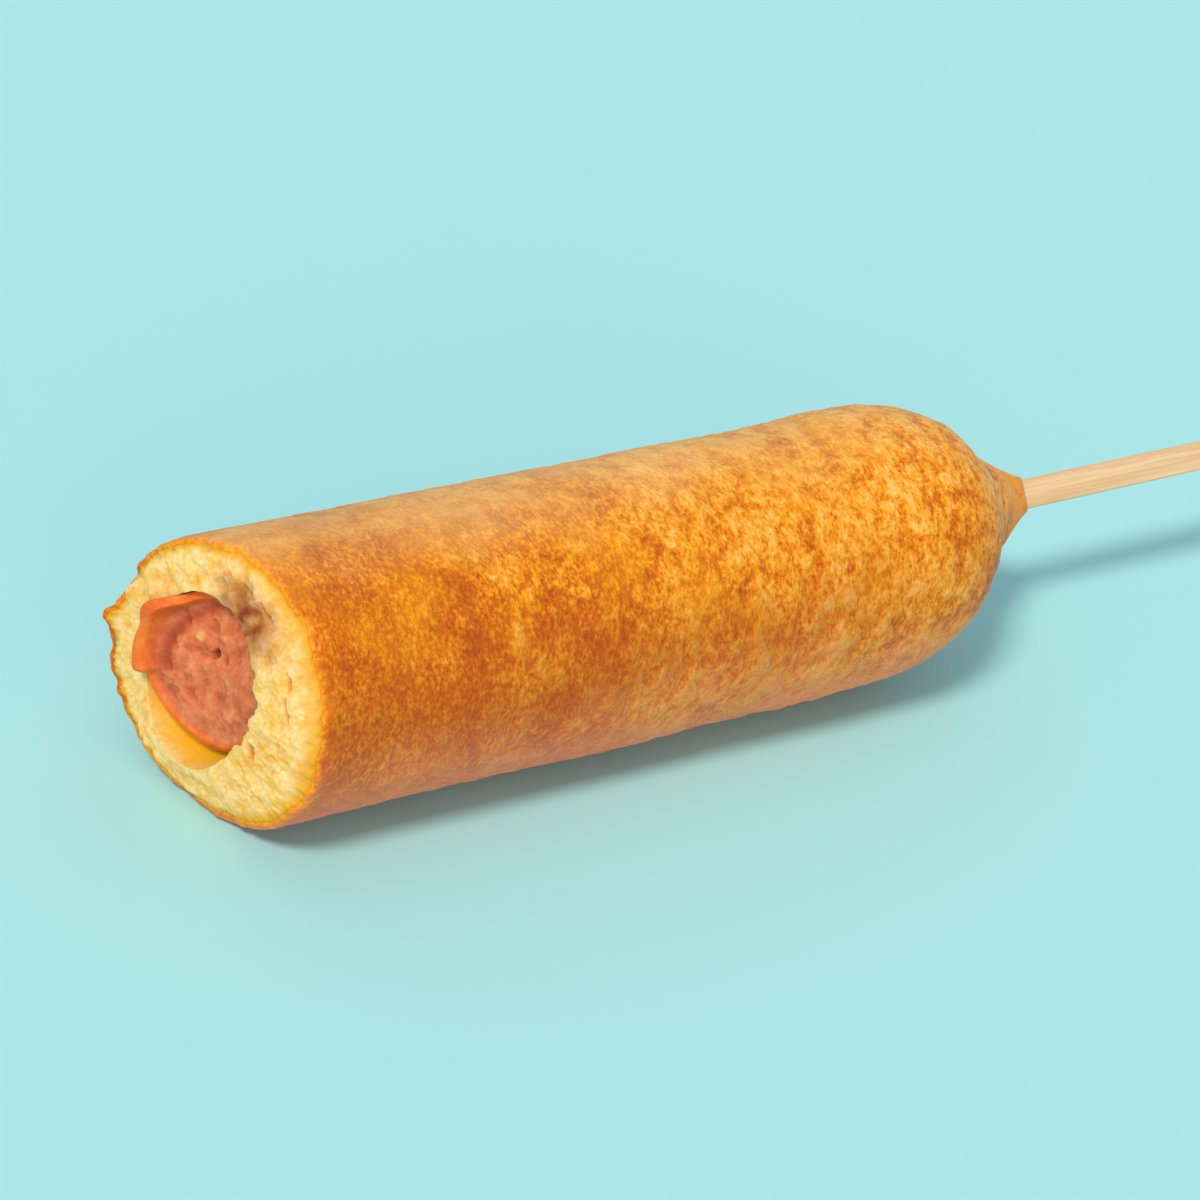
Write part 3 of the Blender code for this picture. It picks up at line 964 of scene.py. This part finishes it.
@dataclass
class Crumb:
    """The bitten face of the batter, with the mouth of the sausage's hole and the open pocket beside it."""

    form: BatterForm
    sausage: SausageForm
    crust: Crust
    finish: CrumbFinish = field(default_factory=CrumbFinish)
    segments: int = 600
    face_rings: int = 74
    wall_rings: int = 34
    back_rings: int = 5
    marks: tuple[str, ...] = ("pore_shade", "wall", "edge", "stain_and_shade")
    wall_depth: float = 13 * MM
    mouth_x: float = -78.7 * MM
    mouth_lean: float = 2.4 * MM
    mouth_lean_side: float = math.radians(150)
    pocket_width: float = 4.3 * MM
    pocket_depth: float = 5 * MM
    pocket: Sector = Sector(283, 68)
    pocket_mouth: Sector = Sector(283, 78.2)
    clinging: Sector = Sector(155, 140)
    lip_overlap: float = 1.5 * MM
    lip_radius: float = 12 * MM
    lip_layers: tuple[Lumps, ...] = (Lumps(1.1, 4.2 * MM, 3.0), Lumps(0.6, 1.7 * MM, 8.0, 2))
    lump_height: float = 0.42 * MM
    lump_spacing: float = 3.1 * MM
    grain_height: float = 0.22 * MM
    grain_layers: tuple[Lumps, ...] = (Lumps(1.0, 1.2 * MM, 5.0), Lumps(0.8, 0.62 * MM, 6.0))
    pore_spacing: float = 2.6 * MM
    pore_radius: float = 1.0 * MM
    porous_spacing: float = 4 * MM
    fine_pore_spacing: float = 1.25 * MM
    fine_pore_radius: float = 0.42 * MM
    pore_depth: float = 0.9 * MM
    crack_ring: float = 18 * MM
    crack_bend: float = 0.04
    crack_bend_spacing: float = 2.5 * MM
    crack_depth: float = 1.1 * MM
    cracks: tuple[Crack, ...] = (
        Crack(Sector(147, 6), 0.36, 0.045),
        Crack(Sector(161, 7), 0.40, 0.05),
        Crack(Sector(100, 9), 0.42, 0.045),
        Crack(Sector(113, 8), 0.36, 0.035),
        Crack(Sector(203, 6), 0.82, 0.08),
    )
    swollen: Sector = Sector(150, 90)
    swollen_height: float = 0.9 * MM
    sunken: Sector = Sector(102, 32)
    sunken_depth: float = 0.8 * MM
    # Where the juice stain and the painted shade beside the sausage lie.
    soaked_and_shaded: Sector = Sector(108, 38)
    chip_fill: Sector = Sector(15, 9)
    chip_fill_height: float = 1.2 * MM
    tucked_depth: float = 1.4 * MM
    amber_depth: float = 3.2 * MM
    back_depth: float = 1.2 * MM
    back_inset: float = 0.6 * MM

    def wall_radius(self, depth: float, angle: float, x: float) -> float:
        """The hole's radius about the sausage's middle line."""
        pocket = self.pocket_width * self.pocket.near(angle)
        pocket *= max(0.0, 1.0 - (depth / self.pocket_depth) ** 2)
        return self.sausage.radius_at(x) + GAP + pocket

    def wall_point(self, depth: float, angle: float) -> Vector:
        """A point on the hole's plain wall, depth inside its mouth."""
        leaning = max(0.0, 1.0 - depth / self.form.bite_blend_length)
        lean = self.mouth_lean * math.cos(angle - self.mouth_lean_side) * leaning
        x = self.mouth_x + lean + depth
        return self.sausage.middle(x) + outward(angle) * self.wall_radius(depth, angle, x)

    def closeness(self, angle: float) -> float:
        """1 where the crumb clings to the sausage, 0 at the pocket."""
        return 1.0 - smooth(self.pocket_mouth.near(angle), 0.05, 0.45)

    def lip(self, angle: float) -> Vector:
        """The torn inner edge of the crumb, which overlaps the sausage where it clings."""
        point = self.wall_point(0.0, angle)
        torn = max(0.28 + layered(outward(angle) * self.lip_radius, self.lip_layers), -0.1)
        near = self.clinging.near(angle) ** 0.7 * self.closeness(angle)
        return point - outward(angle) * (self.lip_overlap * torn * near)

    def crevices(self, share: float, angle: float) -> float:
        """The few deep cracks of the torn face, from 0 to 1."""
        depth = 0.0
        for crack in self.cracks:
            ring = outward(angle) * self.crack_ring
            bend = self.crack_bend * lumps(ring, self.crack_bend_spacing, crack.sector.middle)
            beside = hump(share, crack.middle + bend, crack.width)
            depth = max(depth, beside * crack.sector.near(angle) ** 0.5)
        return depth

    def face(self, share: float, angle: float) -> Spot:
        """The torn face, from the crust's inside to the hole's lip."""
        rear = self.crust.burnt.near(angle)
        swollen = self.swollen.near(angle)
        rim, _ = self.crust.rim(0.5 + 0.4 * rear, angle)
        ragged = self.crust.ragged(angle)
        rim.x -= ragged
        point = rim.lerp(self.lip(angle), share)
        point.x += ragged * (1.0 - smooth(share, 0.0, 0.2))
        settled = math.sin(math.pi * clamp(share * 1.04)) ** 0.5
        calm = 0.3 + 0.7 * self.closeness(angle)
        rough = self.lump_height * lumps(point, self.lump_spacing, 1.0, 2) * calm
        grain = self.grain_height * layered(point, self.grain_layers)
        wide = holes(point, self.pore_spacing, self.pore_radius, 3.0)
        wide *= smooth(lumps(point, self.porous_spacing, 8.0), -0.15, 0.35)
        small = holes(point, self.fine_pore_spacing, self.fine_pore_radius, 9.0)
        cracks = self.crevices(share, angle)
        sunk = self.pore_depth * (wide * 0.9 + small * 0.35) * calm + self.crack_depth * cracks
        point.x += (sunk - rough - grain * (0.45 + 0.55 * calm)) * settled
        point.x -= self.swollen_height * math.sin(math.pi * share) * swollen
        swell = (0.35 + 0.6 * swollen) * (1.0 - rear) + 0.35 * lumps(point, 2.2 * MM, 14.0)
        point.x -= swell * MM * smooth(share, 0.0, 0.22)
        # The low spots, pores and cracks are marked for painted shade.
        low = max(-rough / self.lump_height, 0.0) * 0.5 + max(-grain / self.grain_height, 0.0) * 0.35
        pore_shade = clamp(0.8 * wide * calm + 0.5 * small * calm + 0.6 * cracks + low)
        edge = 1.0 - smooth(share, 0.0, 0.2 + 0.14 * lumps(point, 2 * MM, 4.0, 2))
        point.x += self.sunken_depth * self.sunken.near(angle) * smooth(share, 0.2, 0.7)
        filled = self.chip_fill.near(angle) * (1.0 - smooth(share, 0.1, 0.5))
        point.x -= self.chip_fill_height * filled
        # The cracks take the same darkening, as painted shade.
        stain_and_shade = max(self.stain_and_shade(point, share, angle), 0.55 * cracks)
        return point, (pore_shade * (1.0 - filled), 0.0, edge * (1.0 - filled), stain_and_shade)

    def stain_and_shade(self, point: Vector, share: float, angle: float) -> float:
        """Where the sausage's juice has stained the crumb and painted shade darkens the hollow beside the
        sausage, from 0 to 1.
        """
        soaked_and_shaded = self.soaked_and_shaded.near(angle) ** 0.6 * smooth(share, 0.02, 0.7)
        return clamp(soaked_and_shaded * (0.95 + 0.4 * lumps(point, 2 * MM, 12.0, 2)))

    def wall(self, share: float, angle: float) -> Spot:
        """The smooth wall of the hole and its pocket."""
        depth = self.wall_depth * share**1.3
        lip, _ = self.face(1.0, angle)
        point = self.wall_point(depth, angle)
        tucked = 1.0 - smooth(depth, 0.0, self.tucked_depth)
        point = point.lerp(lip + Vector((depth, 0.0, 0.0)), tucked)
        point += outward(angle) * 0.1 * MM * lumps(point, 3 * MM, 2.0) * (1.0 - tucked)
        amber = smooth(depth, -0.25 * self.amber_depth, self.amber_depth)
        return point, (0.0, amber, 0.0, self.stain_and_shade(point, 1.0, angle) * 0.6)

    def back(self, share: float, angle: float) -> Spot:
        """The hidden back, from the end of the wall out under the crust and forward again."""
        end, _ = self.wall(1.0, angle)
        start, _ = self.face(0.0, angle)
        radius = self.form.front_radius - 2.2 * self.crust.thickness
        outer = self.form.middle(end.x) + outward(angle) * radius
        if share < 0.5:
            return end.lerp(outer, share * 2), (0.0, 1.0, 0.0, 0.0)
        tucked = start + Vector((self.back_depth, 0.0, 0.0)) - outward(angle) * self.back_inset
        return outer.lerp(tucked, share * 2 - 1), (0.0, 0.0, 1.0, 0.0)

    def build(self) -> bpy.types.Object:
        """Makes the face."""
        stretches = [
            Stretch(self.face_rings, self.face),
            Stretch(self.wall_rings, self.wall),
            Stretch(self.back_rings, self.back),
            Stretch(1, self.face),
        ]
        piece = turn("crumb", stretches, self.segments, self.marks)
        piece.data.materials.append(self.finish.material())
        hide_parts("batter")
        return piece


# ---------------------------------------------------------------- sausage


@dataclass
class Sausage:
    """The sausage, with the rough face that the bite left and a flap of skin standing at one side."""

    form: SausageForm
    finish: SausageFinish = field(default_factory=SausageFinish)
    segments: int = 400
    side_rings: int = 30
    face_rings: int = 92
    marks: tuple[str, ...] = ("relief", "skin", "recess_shade", "fat", "pit")
    rounded_share: float = 0.25
    wrinkle_height: float = 0.06 * MM
    edge_lean: float = 3.5 * MM
    edge_lean_side: float = math.radians(143)
    edge_twist: float = 1.4 * MM
    edge_twist_side: float = math.radians(83)
    dish_depth: float = 1.2 * MM
    skin_share: float = 0.085
    wall_share: float = 0.055
    flap_height: float = 1.9 * MM
    flap_corner_height: float = 1.7 * MM
    flap_corner: Sector = Sector(27, 24)
    flap_bent: Sector = Sector(27, 20)
    flap_bend: float = 0.9 * MM
    flap_low_side: float = math.radians(-31)
    flap_fade_start: float = math.radians(27)
    flap_fade_end: float = math.radians(92)
    recess_depth: float = 0.35 * MM
    foot_depth: float = 0.15 * MM
    skin_proud: float = 0.2 * MM
    skin_eased: float = 0.35 * MM
    rough_layers: tuple[Lumps, ...] = (
        Lumps(0.38, 2.6 * MM, 2.0, 2),
        Lumps(0.26, 1.0 * MM, 6.0),
        Lumps(0.16, 0.55 * MM, 8.0),
    )
    tear_spacing: float = 3.4 * MM
    tear_radius: float = 0.7 * MM
    torn_spacing: float = 5 * MM
    pit_place: tuple[float, float] = (2.35 * MM, math.radians(45))
    pit_size: float = 0.75 * MM
    pit_depth: float = 1.7 * MM
    fat_place: tuple[float, float] = (5.4 * MM, math.radians(34))
    fat_size: float = 0.85 * MM
    fat_height: float = 0.25 * MM
    hollow_size: float = 1.2 * MM
    hollow_depth: float = 0.4 * MM
    hollow_places: tuple[tuple[float, float], ...] = (
        (5.9 * MM, math.radians(58)),
        (9.0 * MM, math.radians(-50)),
        (8.6 * MM, math.radians(98)),
        (6.5 * MM, math.radians(-62)),
        (3.6 * MM, math.radians(20)),
    )

    def edge_x(self, angle: float) -> float:
        """Where the side of the sausage ends at the bite, without the flap."""
        lean = self.edge_lean * math.cos(angle - self.edge_lean_side)
        return self.form.front.x + lean + self.edge_twist * math.cos(2 * (angle - self.edge_twist_side))

    def flap(self, angle: float) -> float:
        """1 across the flap, 0 away from it: its lower end is torn off, and its upper end fades out."""
        turned = math.remainder(angle, math.tau)
        torn = smooth(turned, self.flap_low_side - math.radians(3), self.flap_low_side + math.radians(4))
        return torn * (1.0 - smooth(turned, self.flap_fade_start, self.flap_fade_end))

    def flap_top(self, angle: float) -> float:
        """How far the flap stands up, with its upper corner highest."""
        return self.flap(angle) * (self.flap_height + self.flap_corner_height * self.flap_corner.near(angle))

    def side(self, share: float, angle: float) -> Spot:
        """The skin, from the rounded rear to the bitten edge."""
        form = self.form
        if share < self.rounded_share:
            turned = math.sin(math.pi / 2 * (share / self.rounded_share))
            x = form.rear_x - form.rounding * (1.0 - math.sqrt(1.0 - turned * turned))
        else:
            near = share_of((1.0 - share) ** 2, (1.0 - self.rounded_share) ** 2, 0.0)
            x = form.rounded_from + (self.edge_x(angle) - self.flap_top(angle) - form.rounded_from) * near
        radius = form.radius_at(x) if share > 0.0 else 0.0
        proud = 0.0
        if x <= form.rounded_from:
            place = outward(angle) * radius + Vector((x * 0.3, 0.0, 0.0))
            proud = self.wrinkle_height * lumps(place, 2.5 * MM, 3.0)
        proud += self.flap_bend * self.flap_bent.near(angle) * smooth(share, 0.85, 1.0) * self.flap(angle)
        return form.middle(x) + outward(angle) * (radius + proud), (0.5, 1.0, 0.0, 0.0, 0.0)

    def face(self, share: float, angle: float) -> Spot:
        """The bitten face, from its edge to its middle."""
        inward = self.warped(share)
        radius = self.form.radius * (1.0 - inward)
        flap = self.flap(angle)
        skin = self.skin_share * (0.6 + 0.7 * flap)
        middle_x = self.form.front.x + self.dish_depth
        x = self.edge_x(angle) + (middle_x - self.edge_x(angle)) * inward
        standing = 1.0 - smooth(inward, skin, skin + self.wall_share)
        x -= (self.flap_top(angle) + self.skin_proud * (1.0 - flap)) * standing
        x += self.skin_eased * (1.0 - flap) * (1.0 - smooth(inward, 0.0, 0.04))
        foot = hump(inward, skin + self.wall_share + 0.1, 0.16)
        x += (self.recess_depth * flap + self.foot_depth) * foot
        radius += self.flap_bend * self.flap_bent.near(angle) * flap * (1.0 - smooth(inward, 0.0, 0.3))
        point = self.form.middle(x) + outward(angle) * radius
        point.x = x
        meat = smooth(inward, skin, skin + 0.08)
        rough = layered(point, self.rough_layers)
        torn = holes(point, self.tear_spacing, self.tear_radius, 4.0)
        torn *= smooth(lumps(point, self.torn_spacing, 3.0), 0.0, 0.3)
        pit = self.spot(point, self.pit_place, self.pit_size)
        fat = self.spot(point, self.fat_place, self.fat_size)
        hollow = max(self.spot(point, place, self.hollow_size) for place in self.hollow_places) * (1.0 - fat)
        lift = (rough * 0.75 - 0.45 * torn) * meat + 0.05 * lumps(point, 2 * MM, 9.0) * (1.0 - meat)
        point.x -= lift * MM + self.fat_height * fat - self.pit_depth * pit - self.hollow_depth * hollow
        relief = clamp(0.5 + rough * 0.8 - 0.5 * torn)
        # Painted shade at the flap's foot, in the tears and in the hollows.
        recess_shade = clamp(flap * foot * 0.6 + 0.1 * foot + (0.3 * torn + 0.4 * hollow) * meat)
        return point, (relief, 1.0 - meat, recess_shade, fat, pit)

    def warped(self, share: float) -> float:
        """How far in a ring of the face lies: the rings crowd at the foot of the flap."""
        crowd_start, crowd_end = 0.12, 0.42
        skin_end, foot_end = 0.08, 0.26
        if share < crowd_start:
            return skin_end * share / crowd_start
        if share < crowd_end:
            return skin_end + (foot_end - skin_end) * share_of(share, crowd_start, crowd_end)
        return foot_end + (1.0 - foot_end) * share_of(share, crowd_end, 1.0)

    def spot(self, point: Vector, place: tuple[float, float], size: float) -> float:
        """1 at a place on the face, given by its radius and angle, falling to 0 at size away."""
        radius, angle = place
        centre = self.form.middle(point.x) + outward(angle) * radius
        away = math.hypot(point.y - centre.y, (point.z - centre.z) * 0.8)
        away *= 1.0 + 0.5 * lumps(point, 1.1 * MM, 17.0)
        return 1.0 - smooth(away, size * 0.35, size)

    def build(self) -> bpy.types.Object:
        """Makes the sausage."""
        stretches = [Stretch(self.side_rings, self.side), Stretch(self.face_rings, self.face)]
        piece = turn("sausage_meat", stretches, self.segments, self.marks)
        piece.data.materials.append(self.finish.material())
        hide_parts("sausage")
        return piece


# ---------------------------------------------------------------- stick


@dataclass
class Stick:
    """The flat stick, with rounded corners and eased edges."""

    form: BatterForm
    start_x: float
    end_x: float
    finish: WoodFinish = field(default_factory=WoodFinish)
    rise: float = math.radians(0.46)
    yaw: float = math.radians(0.40)
    corner: float = 1.7 * MM
    edge: float = 0.35 * MM

    def middle(self, x: float) -> Vector:
        """The stick's middle line at x. It passes through the middle of the collar's end."""
        collar = self.form.middle(self.form.collar_end_x)
        return collar + Vector((1.0, math.tan(self.yaw), math.tan(self.rise))) * (x - collar.x)

    def build(self) -> bpy.types.Object:
        """Makes the stick."""
        start, end = self.middle(self.start_x), self.middle(self.end_x)
        size = Vector(((end - start).length, self.form.stick_width, self.form.stick_thickness))
        builder = bmesh.new()
        bmesh.ops.create_cube(builder, size=1.0)
        bmesh.ops.scale(builder, vec=size, verts=builder.verts)
        corners = [e for e in builder.edges if abs((e.verts[0].co - e.verts[1].co).z) > size.z / 2]
        bmesh.ops.bevel(
            builder, geom=corners, offset=self.corner, segments=12, profile=0.5, affect="EDGES", material=-1
        )
        around = [e for e in builder.edges if e.is_manifold and e.calc_face_angle() > math.radians(50)]
        bmesh.ops.bevel(
            builder, geom=around, offset=self.edge, segments=4, profile=0.5, affect="EDGES", material=-1
        )
        turned = Vector((1, 0, 0)).rotation_difference((end - start).normalized()).to_matrix()
        turned = turned @ Matrix.Rotation(self.form.stick_roll, 3, "X")
        placed = Matrix.Translation((start + end) / 2) @ turned.to_4x4()
        bmesh.ops.transform(builder, matrix=placed, verts=builder.verts)
        bmesh.ops.triangulate(builder, faces=[face for face in builder.faces if len(face.verts) > 4])
        bmesh.ops.recalc_face_normals(builder, faces=builder.faces)
        piece = made_object("flat_stick", builder)
        piece.data.set_sharp_from_angle(angle=math.radians(30))
        piece.data.materials.append(self.finish.material())
        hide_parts("stick")
        return piece


# ---------------------------------------------------------------- studio


class Lamp(Enum):
    """A light's turn from the camera's heading, its height and the width it fills in the sky, in degrees."""

    KEY = (-24.0, 52.0, 13.0)
    BACK = (180.0, 58.0, 80.0)
    FILL = (14.0, 9.0, 60.0)


@dataclass
class Studio:
    """The floor, the lights and the camera."""

    target: Vector = field(default_factory=lambda: Vector((-11.4, 0.9, 20.7)) * MM)
    distance: float = 0.4972
    azimuth: float = math.radians(-41.82)
    elevation: float = math.radians(33.0)
    roll: float = math.radians(14.13)
    lens_mm: float = 100.0
    floor_size: float = 6.0
    key_strength: float = 2.2
    key_tint: Colour = (1.0, 0.88, 0.78, 1.0)
    fill_strength: float = 1.5
    fill_tint: Colour = (1.0, 0.62, 0.54, 1.0)
    back_strength: float = 0.4
    ambient: float = 0.27
    ambient_tint: Colour = (0.94, 1.33, 1.58, 1.0)
    finish: FloorFinish = field(default_factory=FloorFinish)

    def viewpoint(self) -> Matrix:
        """The camera's rotation: its columns are right, up and back."""
        around = Matrix.Rotation(self.azimuth, 3, "Z")
        tipped = Matrix.Rotation(math.pi / 2 - self.elevation, 3, "X")
        return around @ tipped @ Matrix.Rotation(self.roll, 3, "Z")

    def make_camera(self) -> None:
        """Adds the camera."""
        data = bpy.data.cameras.new("camera")
        data.lens = self.lens_mm
        camera = bpy.data.objects.new("camera", data)
        bpy.context.scene.collection.objects.link(camera)
        turned = self.viewpoint()
        place = self.target + turned.col[2] * self.distance
        camera.matrix_world = Matrix.Translation(place) @ turned.to_4x4()
        bpy.context.scene.camera = camera

    def make_light(self, lamp: Lamp, strength: float, tint: Colour) -> None:
        """Adds one distant soft light.

        Args:
            lamp: Where it stands and how soft it is.
            strength: Its strength, in watts a square metre.
            tint: Its colour.
        """
        turn_degrees, height_degrees, width_degrees = lamp.value
        data = bpy.data.lights.new(lamp.name.lower(), "SUN")
        data.energy = strength
        data.angle = math.radians(width_degrees)
        data.color = tint[:3]
        light = bpy.data.objects.new(data.name, data)
        bpy.context.scene.collection.objects.link(light)
        around = Matrix.Rotation(self.azimuth - math.pi / 2 + math.radians(turn_degrees), 4, "Z")
        light.matrix_world = around @ Matrix.Rotation(math.radians(90.0 - height_degrees), 4, "Y")

    def make_floor(self) -> None:
        """Adds the floor."""
        builder = bmesh.new()
        bmesh.ops.create_grid(builder, x_segments=1, y_segments=1, size=self.floor_size / 2)
        floor = made_object("floor", builder)
        floor.data.materials.append(self.finish.material())

    def build(self) -> None:
        """Makes the whole studio."""
        self.make_floor()
        self.make_light(Lamp.KEY, self.key_strength, self.key_tint)
        self.make_light(Lamp.BACK, self.back_strength, self.key_tint)
        self.make_light(Lamp.FILL, self.fill_strength, self.fill_tint)
        world = bpy.data.worlds.new("studio")
        world.use_nodes = True
        background = world.node_tree.nodes["Background"]
        background.inputs["Color"].default_value = self.ambient_tint
        background.inputs["Strength"].default_value = self.ambient
        bpy.context.scene.world = world
        bpy.context.scene.view_settings.view_transform = "Standard"
        self.make_camera()


# ---------------------------------------------------------------- putting it together


def main() -> None:
    """Builds every piece round the frame, in order."""
    logging.basicConfig(level=logging.INFO, format="%(message)s")
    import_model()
    stick_low, stick_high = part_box("stick")
    batter = BatterForm(collar_end_x=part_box("batter")[1].x)
    sausage = SausageForm(rear_x=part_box("sausage")[1].x)
    crust = Crust(batter, sausage)
    crumb = Crumb(batter, sausage, crust)
    stick = Stick(batter, stick_low.x, stick_high.x)
    for part in (crust, crumb, Sausage(sausage), stick):
        piece = part.build()
        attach(piece, BODY)
        LOG.info("%s: %d faces", piece.name, len(piece.data.polygons))
    Studio().build()


if __name__ == "__main__":
    main()
